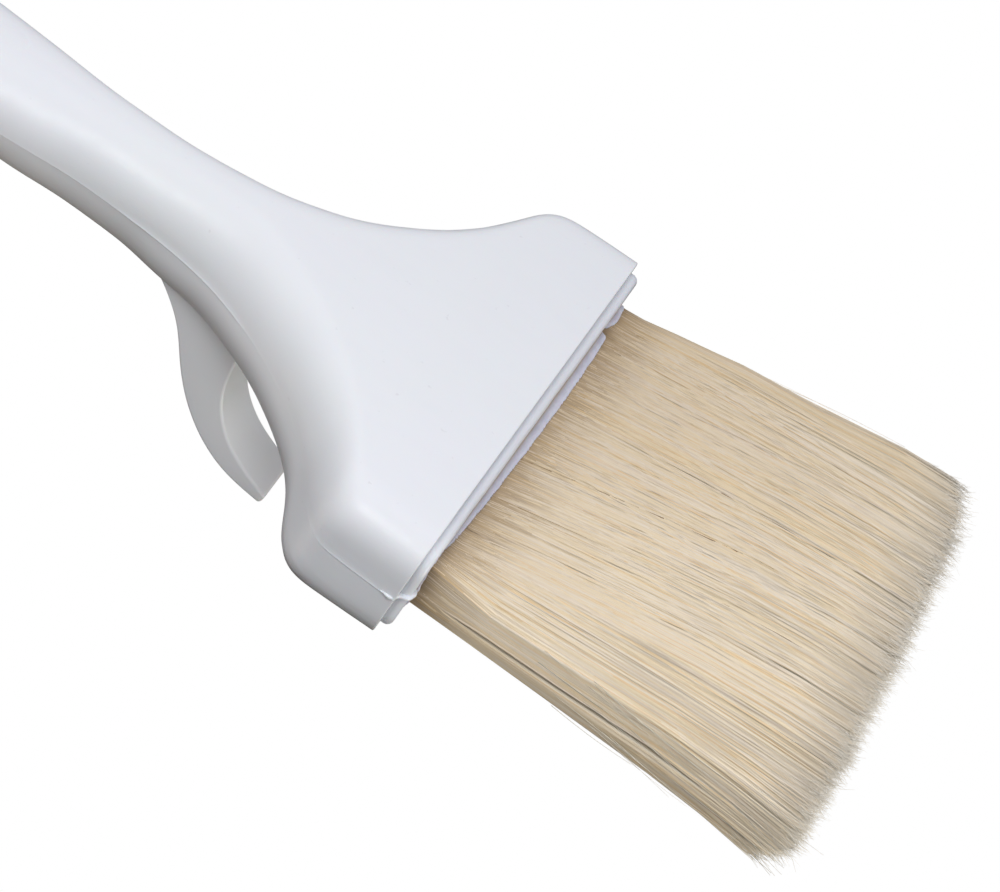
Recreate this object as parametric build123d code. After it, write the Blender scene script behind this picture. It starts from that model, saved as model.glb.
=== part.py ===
from build123d import *
import os

os.makedirs("parts", exist_ok=True)

# A pastry brush: a one-piece moulded handle with a hook behind its neck, and two rows of boar
# bristles cast into a collar that is pressed into the handle's head.
# Millimetres. +X runs from the butt to the bristle tips, +Y across the brush, and +Z out of its
# front face, so the hook hangs below. The origin is under the middle of the brush, level with
# the lowest point of the hook.

# Overall
OVERALL_LENGTH = 229.0
BRISTLE_REACH = 61.2  # mouth of the head to the longest tips
HANDLE_LENGTH = OVERALL_LENGTH - BRISTLE_REACH
HOOK_DEPTH = 29.5  # middle of the handle's thickness to the lowest point of the hook
MOUTH_X = OVERALL_LENGTH / 2 - BRISTLE_REACH
AXIS_Z = HOOK_DEPTH

# Head shell
HEAD_HALF_WIDTH = 38.2
HEAD_HALF_THICK = 9.0
HEAD_EDGE_RADIUS = 5.2
HEAD_STRAIGHT = 10.0  # length of the parallel part behind the mouth
SHELL_WALL = 1.5
POCKET_DEPTH = 9.5

# Hang hole
HANG_HOLE_RADIUS = 3.5
HANG_HOLE_FROM_BUTT = 12.0

# Hook
HOOK_WIDTH = 8.7

# Collar, resin and bristles
COLLAR_WALL = 1.2
COLLAR_PROUD = 1.4
RESIN_LEVEL = 1.1
SKIRT_PROUD = 2.4  # the thin resin lip that hugs the roots above the collar
SKIRT_WALL = 0.45
ROW_HALF_WIDTH = 32.2
FRONT_ROOT_Z = (-0.5, 4.1)  # each row from bottom to top, at the roots
BACK_ROOT_Z = (-4.3, -2.3)
ROW_CORNER = 1.6
ROOT_DEPTH = 7.0  # how far the roots are set below the mouth
TIP_LOW_Y = -32.0  # the pack's edges at the tips: it leans and flares towards +Y
TIP_HIGH_Y = 40.0
FRONT_TIP_Z = (0.3, 7.2)
BACK_TIP_Z = (-4.6, -0.9)
TIP_SLOPE = 0.09  # the tips are shorter towards +Y, by this much for each mm


def section(along, half_width, front, back, front_round, back_round):
    """A rounded outline across the brush, `along` mm past the mouth of the head.

    `front` and `back` are the thicknesses either side of the parting plane, and each has the
    radius of its own corners, which flatten into ellipses where the section is too small.
    """
    front_y = min(front_round, 0.96 * half_width)
    front_z = min(front_round, 0.95 * front)
    back_y = min(back_round, 0.96 * half_width)
    back_z = min(back_round, 0.95 * back)
    front_side = front - front_z
    back_side = back_z - back
    with BuildSketch(Plane((MOUTH_X + along, 0, AXIS_Z), x_dir=(0, 1, 0), z_dir=(1, 0, 0))) as made:
        with BuildLine():
            Line((front_y - half_width, front), (half_width - front_y, front))
            EllipticalCenterArc((half_width - front_y, front_side), front_y, front_z, 0)
            Line((half_width, front_side), (half_width, back_side))
            EllipticalCenterArc((half_width - back_y, back_side), back_y, back_z, 270)
            Line((half_width - back_y, -back), (back_y - half_width, -back))
            EllipticalCenterArc((back_y - half_width, back_side), back_y, back_z, 180)
            Line((-half_width, back_side), (-half_width, front_side))
            EllipticalCenterArc((front_y - half_width, front_side), front_y, front_z, 90)
        make_face()
    return made.sketch.faces()[0]


def block(start, end, half_width, half_thick, corner):
    """A prism along the brush with rounded long edges."""
    face = section(start, half_width, half_thick, half_thick, corner, corner)
    return extrude(face, amount=end - start, dir=(1, 0, 0))


# Each row: distance past the mouth, half width, front and back thickness, front and back corners.
# The back runs nearly straight. The front dips at the neck, which spreads into the flat head.
BUTT = -HANDLE_LENGTH
STATIONS = [
    (BUTT, 4.0, 3.0, 3.4, 3.6, 3.6),
    (BUTT + 1.4, 6.6, 4.6, 5.0, 6.0, 6.0),
    (BUTT + 4.5, 9.0, 5.7, 6.3, 8.4, 8.4),
    (BUTT + 10, 10.6, 6.2, 7.0, 10.0, 10.0),
    (BUTT + 22, 11.5, 6.5, 7.4, 10.6, 10.6),
    (BUTT + 45, 11.4, 6.7, 7.8, 10.4, 10.4),
    (-100, 10.4, 6.8, 8.0, 9.6, 9.6),
    (-87, 9.5, 6.9, 8.05, 8.6, 8.6),
    (-76, 8.6, 7.0, 8.05, 7.8, 7.6),
    (-66, 7.3, 7.4, 8.1, 7.0, 7.0),
    (-57, 7.3, 7.6, 8.2, 7.0, 7.0),
    (-50, 7.8, 8.3, 8.8, 7.3, 7.0),
    (-44, 8.9, 8.8, 9.0, 8.0, 7.2),
    (-40, 10.2, 9.0, 9.0, 8.2, 7.4),
    (-34, 13.0, 8.9, 9.05, 8.4, 7.6),
    (-28, 17.5, 8.9, 9.1, 8.3, 7.4),
    (-23.5, 22.0, 8.9, 9.1, 8.2, 6.8),
    (-20, 26.5, 9.0, 9.1, 8.2, 5.4),
    (-17, 31.4, 9.0, 9.1, 8.2, 4.2),
    (-14, 36.0, 9.0, 9.0, 6.9, 4.4),
    (-12, 37.6, 9.0, 9.0, 6.0, 4.8),
    (
        -HEAD_STRAIGHT,
        HEAD_HALF_WIDTH,
        HEAD_HALF_THICK,
        HEAD_HALF_THICK,
        HEAD_EDGE_RADIUS,
        HEAD_EDGE_RADIUS,
    ),
]


def at(along, up):
    """A point on the brush's middle plane."""
    return (MOUTH_X + along, 0, AXIS_Z + up)


def make_hook():
    """The hook's side outline, drawn on the middle plane and given its width."""
    outer = Spline(
        at(-54, -3.5),
        at(-48, -8.8),
        at(-44.2, -12.7),
        at(-41, -17.8),
        at(-35.2, -24.7),
        at(-28.5, -28.5),
        at(-22.7, -HOOK_DEPTH),
    )
    tip = ThreePointArc(at(-22.7, -HOOK_DEPTH), at(-21.9, -28.7), at(-22.4, -27.7))
    inner = Spline(
        at(-22.4, -27.7),
        at(-28.8, -24.5),
        at(-33.2, -19.3),
        at(-34.7, -13.5),
        at(-34.5, -3.5),
    )
    root = Line(at(-34.5, -3.5), at(-54, -3.5))
    outline = make_face(Wire([outer, tip, inner, root]))
    bar = extrude(outline, amount=HOOK_WIDTH, dir=(0, 1, 0))
    return Pos(0, -HOOK_WIDTH / 2, 0) * bar


def make_handle():
    sections = [section(*station) for station in STATIONS]
    body = loft(sections)
    head = block(-HEAD_STRAIGHT, 0, HEAD_HALF_WIDTH, HEAD_HALF_THICK, HEAD_EDGE_RADIUS)
    pocket = block(
        -POCKET_DEPTH,
        1,
        HEAD_HALF_WIDTH - SHELL_WALL,
        HEAD_HALF_THICK - SHELL_WALL,
        HEAD_EDGE_RADIUS - SHELL_WALL,
    )
    hole_centre = (MOUTH_X + BUTT + HANG_HOLE_FROM_BUTT, 0, AXIS_Z)
    hole = Pos(*hole_centre) * Cylinder(HANG_HOLE_RADIUS, 4 * HEAD_HALF_THICK)
    return body + head + make_hook() - pocket - hole


def make_row(root_z, tip_z):
    """One bristle row: straight in the resin, then flaring to tips cut on a slope."""
    root_middle = sum(root_z) / 2
    tip_middle = sum(tip_z) / 2
    root_half = (root_z[1] - root_z[0]) / 2
    tip_half = (tip_z[1] - tip_z[0]) / 2
    tip_width = (TIP_HIGH_Y - TIP_LOW_Y) / 2
    tip_shift = (TIP_HIGH_Y + TIP_LOW_Y) / 2
    root = block(-ROOT_DEPTH, SKIRT_PROUD, ROW_HALF_WIDTH, root_half, ROW_CORNER)
    low = section(SKIRT_PROUD, ROW_HALF_WIDTH, root_half, root_half, ROW_CORNER, ROW_CORNER)
    high = section(BRISTLE_REACH + 1, tip_width, tip_half, tip_half, ROW_CORNER, ROW_CORNER)
    spread = loft([Pos(0, 0, root_middle) * low, Pos(0, tip_shift, tip_middle) * high], ruled=True)
    row = Pos(0, 0, root_middle) * root + spread
    cut_x = MOUTH_X + BRISTLE_REACH + TIP_SLOPE * TIP_LOW_Y
    cut = Plane((cut_x, 0, AXIS_Z), x_dir=(0, 0, 1), z_dir=(1, TIP_SLOPE, 0))
    return split(row, bisect_by=cut, keep=Keep.BOTTOM)


def make_plug():
    """The strip that fills the space between the two rows' roots."""
    half_thick = (FRONT_ROOT_Z[0] - BACK_ROOT_Z[1]) / 2
    middle = (FRONT_ROOT_Z[0] + BACK_ROOT_Z[1]) / 2
    strip = block(-ROOT_DEPTH, SKIRT_PROUD, ROW_HALF_WIDTH, half_thick, half_thick - 0.2)
    return Pos(0, 0, middle) * strip


def make_skirt():
    """The lip of resin that stands up round the roots of both rows."""
    half_width = ROW_HALF_WIDTH + SKIRT_WALL
    half_thick = (FRONT_ROOT_Z[1] - BACK_ROOT_Z[0]) / 2 + SKIRT_WALL
    middle = (FRONT_ROOT_Z[1] + BACK_ROOT_Z[0]) / 2
    return Pos(0, 0, middle) * block(0, SKIRT_PROUD, half_width, half_thick, ROW_CORNER + SKIRT_WALL)


handle = make_handle()
collar_width = HEAD_HALF_WIDTH - SHELL_WALL
collar_thick = HEAD_HALF_THICK - SHELL_WALL
collar_corner = HEAD_EDGE_RADIUS - SHELL_WALL
resin_width = collar_width - COLLAR_WALL
resin_thick = collar_thick - COLLAR_WALL
resin_corner = collar_corner - COLLAR_WALL
resin_block = block(-POCKET_DEPTH, RESIN_LEVEL, resin_width, resin_thick, resin_corner)
collar_hole = block(-POCKET_DEPTH, COLLAR_PROUD, resin_width, resin_thick, resin_corner)
collar = block(-POCKET_DEPTH, COLLAR_PROUD, collar_width, collar_thick, collar_corner) - collar_hole
front_row = make_row(FRONT_ROOT_Z, FRONT_TIP_Z)
back_row = make_row(BACK_ROOT_Z, BACK_TIP_Z)
plug = make_plug()
resin = resin_block + make_skirt() - front_row - back_row - plug

NODES = {
    "handle": handle,
    "bristle_collar": collar,
    "setting_resin": resin,
    "spacer_plug": plug,
    "front_bristle_row": front_row,
    "back_bristle_row": back_row,
}
for name, solid in NODES.items():
    export_step(solid, f"parts/{name}.step")
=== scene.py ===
import math

import bpy
import numpy as np
from mathutils import Matrix, Vector


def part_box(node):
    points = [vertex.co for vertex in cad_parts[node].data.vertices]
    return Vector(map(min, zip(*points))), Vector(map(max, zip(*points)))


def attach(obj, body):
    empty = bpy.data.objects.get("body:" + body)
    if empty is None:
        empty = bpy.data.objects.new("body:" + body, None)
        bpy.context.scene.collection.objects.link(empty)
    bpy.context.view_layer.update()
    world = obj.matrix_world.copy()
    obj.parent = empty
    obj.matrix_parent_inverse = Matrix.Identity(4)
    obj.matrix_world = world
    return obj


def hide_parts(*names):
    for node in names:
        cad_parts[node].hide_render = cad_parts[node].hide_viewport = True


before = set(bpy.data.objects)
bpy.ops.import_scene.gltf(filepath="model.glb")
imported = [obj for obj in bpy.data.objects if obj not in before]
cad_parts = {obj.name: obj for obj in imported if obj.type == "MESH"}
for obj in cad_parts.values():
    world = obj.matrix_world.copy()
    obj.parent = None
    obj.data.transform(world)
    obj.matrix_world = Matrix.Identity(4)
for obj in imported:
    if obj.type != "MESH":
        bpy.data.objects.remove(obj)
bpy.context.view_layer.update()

# ---- places
# Sizes are in millimetres in a frame of the brush's own: `along` runs from the mouth of the head
# towards the bristle tips, `across` is the row frame's Y and `up` is out of the front face.
# place() turns them into metres in the row frame.
MM = 0.001
HANDLE_LOW, HANDLE_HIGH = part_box("handle")
COLLAR_LOW, COLLAR_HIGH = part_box("bristle_collar")
PLUG_LOW, PLUG_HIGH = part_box("spacer_plug")
MOUTH_X = HANDLE_HIGH.x
AXIS_Z = (COLLAR_LOW.z + COLLAR_HIGH.z) / 2
ORIGIN = np.array([MOUTH_X, 0.0, AXIS_Z])

BUTT = (HANDLE_LOW.x - MOUTH_X) / MM
HEAD_HALF_WIDTH = HANDLE_HIGH.y / MM
HEAD_HALF_THICK = (HANDLE_HIGH.z - AXIS_Z) / MM
HEAD_CORNER = 5.2
SHELL_WALL = 1.5
POCKET_DEPTH = (MOUTH_X - COLLAR_LOW.x) / MM
COLLAR_PROUD = (COLLAR_HIGH.x - MOUTH_X) / MM
COLLAR_HALF_WIDTH = COLLAR_HIGH.y / MM
COLLAR_HALF_THICK = (COLLAR_HIGH.z - AXIS_Z) / MM
COLLAR_WALL = 1.2
COLLAR_CORNER = HEAD_CORNER - SHELL_WALL
HOOK_WIDTH = 8.7
HOOK_DEPTH = (AXIS_Z - HANDLE_LOW.z) / MM
HOLE_RADIUS = 3.5
HOLE_FROM_BUTT = 12.0
HOLE_SIDES = 64


def place(points):
    """Millimetres (along, across, up) as metres in the row frame."""
    return np.asarray(points, dtype=float) * MM + ORIGIN


# ---- small maths


def smooth(x, low, high):
    """0 below low, 1 above high, and an easy curve between."""
    t = np.clip((x - low) / (high - low), 0.0, 1.0)
    return t * t * (3 - 2 * t)


def bump(x, centre, width):
    """A soft hill of height 1."""
    return np.exp(-(((x - centre) / width) ** 2))


def monotone(x, xs, ys):
    """A smooth curve through the points that never overshoots them. ys may have several columns."""
    x = np.atleast_1d(np.asarray(x, dtype=float))
    xs = np.asarray(xs, dtype=float)
    ys = np.asarray(ys, dtype=float)
    if ys.ndim == 1:
        ys = ys[:, None]
    step = np.diff(xs)[:, None]
    slope = np.diff(ys, axis=0) / step
    tangent = np.zeros_like(ys)
    same = slope[1:] * slope[:-1] > 0
    mean = 2 * slope[1:] * slope[:-1] / np.where(same, slope[1:] + slope[:-1], 1.0)
    tangent[1:-1] = np.where(same, mean, 0.0)
    tangent[0] = slope[0]
    tangent[-1] = slope[-1]
    k = np.clip(np.searchsorted(xs, x) - 1, 0, len(xs) - 2)
    t = np.clip((x - xs[k]) / np.diff(xs)[k], 0.0, 1.0)[:, None]
    h = step[k]
    return (
        ys[k] * (1 + 2 * t) * (1 - t) ** 2
        + ys[k + 1] * t * t * (3 - 2 * t)
        + tangent[k] * h * t * (1 - t) ** 2
        - tangent[k + 1] * h * t * t * (1 - t)
    )


def read_table(table, x):
    """The smooth curve through a table of pairs, at each x."""
    return monotone(x, table[:, 0], table[:, 1])[:, 0]


def spline(points, count):
    """`count` points evenly along a natural cubic curve through the given 2-D points."""
    points = np.asarray(points, dtype=float)
    n = len(points)
    s = np.concatenate([[0.0], np.cumsum(np.hypot(*np.diff(points, axis=0).T))])
    h = np.diff(s)
    matrix = np.eye(n)
    right = np.zeros((n, 2))
    for i in range(1, n - 1):
        matrix[i, i - 1 : i + 2] = h[i - 1], 2 * (h[i - 1] + h[i]), h[i]
        right[i] = 6 * ((points[i + 1] - points[i]) / h[i] - (points[i] - points[i - 1]) / h[i - 1])
    bend = np.linalg.solve(matrix, right)
    x = np.linspace(0, s[-1], 12 * n * 4)
    k = np.clip(np.searchsorted(s, x) - 1, 0, n - 2)
    a = (s[k + 1] - x)[:, None]
    b = (x - s[k])[:, None]
    w = h[k][:, None]
    curve = (
        bend[k] * a**3 / (6 * w)
        + bend[k + 1] * b**3 / (6 * w)
        + (points[k] / w - bend[k] * w / 6) * a
        + (points[k + 1] / w - bend[k + 1] * w / 6) * b
    )
    length = np.concatenate([[0.0], np.cumsum(np.hypot(*np.diff(curve, axis=0).T))])
    even = np.linspace(0, length[-1], count)
    return np.stack([np.interp(even, length, curve[:, c]) for c in range(2)], axis=1)


def wave_noise(x, seed, scale, octaves=3):
    """Smooth repeatable noise in -1..1 along a line."""
    rng = np.random.default_rng(seed)
    total = np.zeros_like(np.asarray(x, dtype=float))
    size = 1.0
    for _ in range(octaves):
        for _ in range(3):
            turn = rng.uniform(0, 2 * math.pi)
            rate = rng.uniform(0.6, 1.6) / scale
            total += size / 3 * np.sin(2 * math.pi * rate * x + turn)
        size *= 0.5
        scale *= 0.5
    return total


# ---- mesh helpers


def new_object(name, points, faces, slot, sharp_angle=40):
    """A mesh from points in the brush's own millimetres, riding on the one body."""
    mesh = bpy.data.meshes.new(name)
    mesh.from_pydata(place(points).tolist(), [], faces)
    mesh.validate()
    obj = bpy.data.objects.new(name, mesh)
    bpy.context.scene.collection.objects.link(obj)
    mesh.shade_smooth()
    mesh.set_sharp_from_angle(angle=math.radians(sharp_angle))
    if slot:
        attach(obj, "root")
    return obj


def ring_faces(rings, around, close_start=False, close_end=False):
    """Quads between closed rings of points, and flat caps if asked."""
    faces = []
    for i in range(rings - 1):
        for j in range(around):
            k = (j + 1) % around
            faces.append((i * around + j, i * around + k, (i + 1) * around + k, (i + 1) * around + j))
    if close_start:
        faces.append(tuple(reversed(range(around))))
    if close_end:
        faces.append(tuple((rings - 1) * around + j for j in range(around)))
    return faces


def carve(obj, tool, operation):
    """Joins or cuts with another mesh object, which is then removed."""
    change = obj.modifiers.new("carve", "BOOLEAN")
    change.operation = operation
    change.solver = "MANIFOLD"
    change.object = tool
    bpy.context.view_layer.objects.active = obj
    bpy.ops.object.modifier_apply(modifier=change.name)
    bpy.data.objects.remove(tool, do_unlink=True)


def ring_at(along, ring):
    """A closed outline of (across, up) points, `along` mm past the mouth."""
    return np.column_stack([np.full(len(ring), along), ring])


def quadrant(half_width, half_thick, corner_y, corner_z, steps):
    """Points from the widest place (half_width, 0) to the top (0, half_thick) of a rounded
    outline, at the given fractions of the way round."""
    turn = np.linspace(0, math.pi / 2, 60)
    y = half_width - corner_y + corner_y * np.cos(turn)
    z = half_thick - corner_z + corner_z * np.sin(turn)
    y = np.concatenate([[half_width], y, [0.0]])
    z = np.concatenate([[0.0], z, [half_thick]])
    length = np.concatenate([[0.0], np.cumsum(np.hypot(np.diff(y), np.diff(z)))])
    wanted = steps(length[-1])
    return np.interp(wanted, length, y), np.interp(wanted, length, z)


def even_steps(count):
    return lambda length: np.linspace(0, length, count)


def outline(half_width, half_thick, corner_y, corner_z, count=40):
    """A closed rounded outline as (across, up) points, anticlockwise from (half_width, 0)."""
    y, z = quadrant(half_width, half_thick, corner_y, corner_z, even_steps(count))
    quarter = np.stack([y, z], axis=1)
    flip_y = quarter[::-1] * [-1, 1]
    flip_both = quarter * [-1, -1]
    flip_z = quarter[::-1] * [1, -1]
    return np.concatenate([quarter[:-1], flip_y[:-1], flip_both[:-1], flip_z[:-1]])


# ---- node helpers


class Nodes:
    """A short way to write a material's node tree."""

    def __init__(self, name):
        self.material = bpy.data.materials.new(name)
        self.material.use_nodes = True
        self.tree = self.material.node_tree
        self.tree.nodes.clear()
        self.out = self.add("OutputMaterial")

    def add(self, kind, **settings):
        node = self.tree.nodes.new("ShaderNode" + kind)
        for key, value in settings.items():
            setattr(node, key, value)
        return node

    def link(self, source, target):
        self.tree.links.new(source, target)

    def noise(self, scale, detail=3.0, rough=0.5, stretch=None):
        """A noise texture whose scale is in features per metre of the row frame."""
        coords = self.add("TexCoord").outputs["Object"]
        if stretch:
            mapping = self.add("Mapping")
            mapping.inputs["Scale"].default_value = stretch
            self.link(coords, mapping.inputs["Vector"])
            coords = mapping.outputs["Vector"]
        node = self.add("TexNoise")
        node.inputs["Scale"].default_value = scale
        node.inputs["Detail"].default_value = detail
        node.inputs["Roughness"].default_value = rough
        self.link(coords, node.inputs["Vector"])
        return node.outputs["Fac"]

    def remap(self, value, low, high, to_low, to_high):
        node = self.add("MapRange")
        for key, number in zip(("From Min", "From Max", "To Min", "To Max"), (low, high, to_low, to_high)):
            node.inputs[key].default_value = number
        self.link(value, node.inputs["Value"])
        return node.outputs["Result"]

    def mix(self, factor, first, second, blend="MIX"):
        """Mixes two colours; each is an RGB tuple or an output."""
        node = self.add("Mix", data_type="RGBA", blend_type=blend)
        for key, value in ((0, factor), (6, first), (7, second)):
            if isinstance(value, (int, float)):
                node.inputs[key].default_value = value
            elif isinstance(value, tuple):
                node.inputs[key].default_value = (*value, 1)
            else:
                self.link(value, node.inputs[key])
        return node.outputs[2]

    def bump(self, height, distance, strength=1.0, after=None):
        node = self.add("Bump")
        node.inputs["Distance"].default_value = distance
        node.inputs["Strength"].default_value = strength
        self.link(height, node.inputs["Height"])
        if after:
            self.link(after, node.inputs["Normal"])
        return node.outputs["Normal"]

    def shader(self, color, roughness, normal=None, **uniform):
        node = self.add("BsdfPrincipled")
        self.link(color, node.inputs["Base Color"])
        self.link(roughness, node.inputs["Roughness"])
        if normal:
            self.link(normal, node.inputs["Normal"])
        for key, value in uniform.items():
            node.inputs[key.replace("_", " ")].default_value = value
        self.link(node.outputs[0], self.out.inputs["Surface"])
        return self.material


def plastic(name, color, warm, speck_amount=0.5):
    """Satin white polypropylene: faint clouds of colour, a few specks and scuffs, and the fine
    orange-peel of a moulded skin."""
    n = Nodes(name)
    cloud = n.remap(n.noise(38, 3.0), 0.35, 0.7, 0, 1)
    base = n.mix(cloud, color, warm)
    flow = n.remap(n.noise(260, 4.0, 0.6, (0.25, 1, 1)), 0.45, 0.8, 0, 0.12)
    base = n.mix(flow, base, (color[0] * 0.9, color[1] * 0.9, color[2] * 0.92))
    speck = n.remap(n.noise(900, 2.0, 0.4), 0.74, 0.80, 0, speck_amount)
    base = n.mix(speck, base, (0.66, 0.66, 0.68))
    rough = n.remap(n.noise(520, 5.0, 0.65), 0.3, 0.75, 0.33, 0.47)
    peel = n.bump(n.noise(1500, 2.0, 0.5), 0.00002, 0.35)
    scuff = n.bump(n.noise(900, 4.0, 0.7, (0.06, 1, 1)), 0.00003, 0.25, peel)
    return n.shader(
        base,
        rough,
        scuff,
        IOR=1.49,
        Specular_IOR_Level=0.42,
        Subsurface_Weight=0.08,
        Subsurface_Scale=0.002,
    )


def cast_resin():
    """White setting resin: matt, slightly cloudy, amber where it meets the collar."""
    n = Nodes("cast_resin")
    tone = n.add("Attribute", attribute_name="amber")
    base = n.mix(n.remap(n.noise(700, 4.0), 0.3, 0.75, 0, 1), (0.60, 0.60, 0.70), (0.72, 0.72, 0.80))
    base = n.mix(tone.outputs["Fac"], base, (0.52, 0.42, 0.27))
    rough = n.remap(n.noise(2500, 3.0), 0.3, 0.7, 0.42, 0.6)
    bumps = n.bump(n.noise(3200, 3.0, 0.6), 0.00006, 0.6)
    return n.shader(base, rough, bumps, IOR=1.5, Subsurface_Weight=0.1, Subsurface_Scale=0.001)


def bristle_material(name="boar_bristle"):
    """Boar hair: each bristle's colour along its length, its own tone with painted shade near the roots and
    inside the pack, and fine scales.
    """
    n = Nodes(name)
    tone = n.add("Attribute", attribute_name="tone")
    fine = n.remap(n.noise(3800, 3.0, 0.6, (0.12, 1, 1)), 0.3, 0.7, 0, 0.2)
    base = n.mix(fine, tone.outputs["Color"], (0.88, 0.76, 0.56), "MULTIPLY")
    rough = n.remap(n.noise(5200, 2.0), 0.3, 0.7, 0.36, 0.55)
    scales = n.bump(n.noise(9000, 2.0, 0.5, (1, 0.4, 0.4)), 0.00001, 0.4)
    return n.shader(base, rough, scales, IOR=1.54, Specular_IOR_Level=0.3, Subsurface_Weight=0.0)


# ---- handle

# Each row: distance past the mouth, half width, thickness in front of the parting line and behind
# it, and the radius of the front and back corners.
STATIONS = np.array([
    (BUTT, 4.0, 3.0, 3.4, 3.6, 3.6),
    (BUTT + 1.4, 6.6, 4.6, 5.0, 6.0, 6.0),
    (BUTT + 4.5, 9.0, 5.7, 6.3, 8.4, 8.4),
    (BUTT + 10, 10.6, 6.2, 7.0, 10.0, 10.0),
    (BUTT + 22, 11.5, 6.5, 7.4, 10.6, 10.6),
    (BUTT + 45, 11.4, 6.7, 7.8, 10.4, 10.4),
    (-100, 10.4, 6.8, 8.0, 9.6, 9.6),
    (-87, 9.5, 6.9, 8.05, 8.6, 8.6),
    (-76, 8.6, 7.0, 8.05, 7.8, 7.6),
    (-72, 8.2, 7.0, 8.05, 7.6, 7.0),
    (-66, 7.3, 7.45, 8.1, 7.0, 7.0),
    (-57, 7.3, 7.6, 8.2, 7.0, 7.0),
    (-50, 7.7, 8.3, 8.8, 7.2, 7.0),
    (-47, 8.2, 8.6, 9.0, 7.5, 7.5),
    (-44, 8.8, 8.95, 9.0, 8.0, 8.0),
    (-42, 9.3, 9.0, 9.0, 8.0, 8.0),
    (-40, 10.2, 9.0, 9.1, 8.0, 8.0),
    (-37, 11.6, 8.95, 9.1, 8.0, 8.0),
    (-34, 13.2, 8.8, 9.0, 8.3, 8.3),
    (-31, 15.2, 8.8, 9.0, 8.3, 8.3),
    (-28, 17.6, 8.8, 9.0, 8.0, 8.0),
    (-26, 19.2, 8.8, 9.0, 7.8, 7.8),
    (-24, 21.35, 8.8, 9.0, 8.0, 7.8),
    (-22, 23.7, 8.85, 8.9, 8.2, 7.7),
    (-20, 26.3, 8.9, 8.9, 8.2, 6.9),
    (-19, 27.8, 8.9, 8.9, 8.3, 6.2),
    (-18, 29.5, 8.95, 9.0, 8.3, 4.6),
    (-17, 31.4, 9.0, 9.2, 8.5, 2.9),
    (-16, 33.1, 9.0, 9.2, 8.3, 2.6),
    (-15, 34.8, 9.0, 9.2, 7.5, 3.0),
    (-14, 36.1, 9.0, 9.2, 6.9, 3.5),
    (-13, 36.95, 9.0, 9.15, 6.45, 3.9),
    (-12, 37.5, 9.0, 9.1, 6.1, 4.1),
    (-10, 37.85, 9.0, 9.05, 5.6, 4.3),
    (-5, 38.05, 9.0, 9.0, 5.3, 4.7),
    (0, HEAD_HALF_WIDTH, 9.0, 9.0, HEAD_CORNER, HEAD_CORNER),
])
# The mould's two halves lean in from the parting line, in degrees: distance, front, back.
LEAN = np.array([
    (BUTT, 0, 0), (-150, 1, 8), (-100, 1, 12), (-57, 2, 12), (-50, 4, 6), (-42, 6, 4), (-34, 3, 1),
    (-24, 0, 0), (0, 0, 0),
])
# How far the parting line's ridge stands out, in mm.
RIDGE = np.array([
    (BUTT, 0.0), (-160, 0.05), (-60, 0.06), (-56, 0.14), (-38, 0.14), (-34, 0.05), (-14, 0.04),
    (-9.5, 0.12), (0, 0.14),
])
# Steps round the section next to the parting line, in mm.
NEAR_LINE = [0.0, 0.05, 0.12, 0.22, 0.4, 0.65]
# The edge of the mouth: distance past it, and how far in from the outside.
MOUTH_EDGE = [(-0.16, 0.0), (-0.05, 0.05), (0.0, 0.16), (0.0, SHELL_WALL - 0.12), (-0.12, SHELL_WALL)]
GATE_ALONG = -83.0
GATE_RADIUS = 2.7
HANDLE_SHARP_ANGLE = 34  # degrees


def handle_steps(length):
    """Places round a quarter of the section: close together at the parting line."""
    return np.concatenate([NEAR_LINE, np.linspace(1.0, length, 30)])


def parting_offset(up, height):
    """The step and bead at the parting line: the front half stands a little proud."""
    front = height * np.exp(-np.clip(up, 0, None) / 0.35)
    back = -0.45 * height * np.exp(np.clip(up, None, 0) / 0.25)
    return np.where(up > 0, front, back)


def handle_profile(along):
    """The stations' numbers at one place, evened out so that the outline flows."""
    spread = 2.6 * smooth(along, BUTT + 5, BUTT + 26) * (1 - 0.68 * smooth(along, -32, -20))
    steps = np.linspace(-2, 2, 9)
    weights = np.exp(-(steps**2) / 2)
    rows = monotone(along + steps * spread, STATIONS[:, 0], STATIONS[:, 1:])
    return (rows * weights[:, None]).sum(axis=0) / weights.sum()


def handle_ring(along):
    """One section of the handle, as (across, up) points."""
    width, *halves = handle_profile(along)
    leans = np.radians(monotone(along, LEAN[:, 0], LEAN[:, 1:])[0])
    ridge = read_table(RIDGE, along)[0]
    half_rings = []
    for side, thick, corner, lean in zip((1, -1), halves[:2], halves[2:], leans):
        corner_y = min(corner, 0.96 * width)
        corner_z = min(corner, 0.95 * thick)
        y, z = quadrant(width, thick, corner_y, corner_z, handle_steps)
        fall = z / thick
        squeeze = 1 - (fall - fall**2 / 2) * math.tan(lean) * thick / width
        half_y = y * squeeze
        half_z = side * np.maximum(z, 0.004)
        half_y = half_y + np.where(half_y > 0, 1, 0) * parting_offset(half_z, ridge)
        half_rings.append(np.stack([half_y, half_z], axis=1))
    front, back = half_rings
    return np.concatenate([front[:-1], front[::-1] * [-1, 1], (back * [-1, 1])[:-1], back[::-1]])


def handle_places():
    """Where the rings lie: close together where the handle turns quickly."""
    butt_end = BUTT + np.array([0, 0.25, 0.6, 1.0, 1.5, 2.2, 3.0, 4.0, 5.2, 6.6, 8.2])
    spans = [
        np.arange(BUTT + 10, -90, 1.7),
        np.arange(-90, -87, 1.0),
        np.arange(-86.6, -79.5, 0.22),
        np.arange(-79, -58, 1.0),
        np.arange(-57.5, -24, 0.6),
        np.arange(-23.6, -9, 0.35),
        np.arange(-8.6, -0.6, 0.7),
        [-0.45, -0.25],
    ]
    return np.concatenate([butt_end, *spans])


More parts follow.
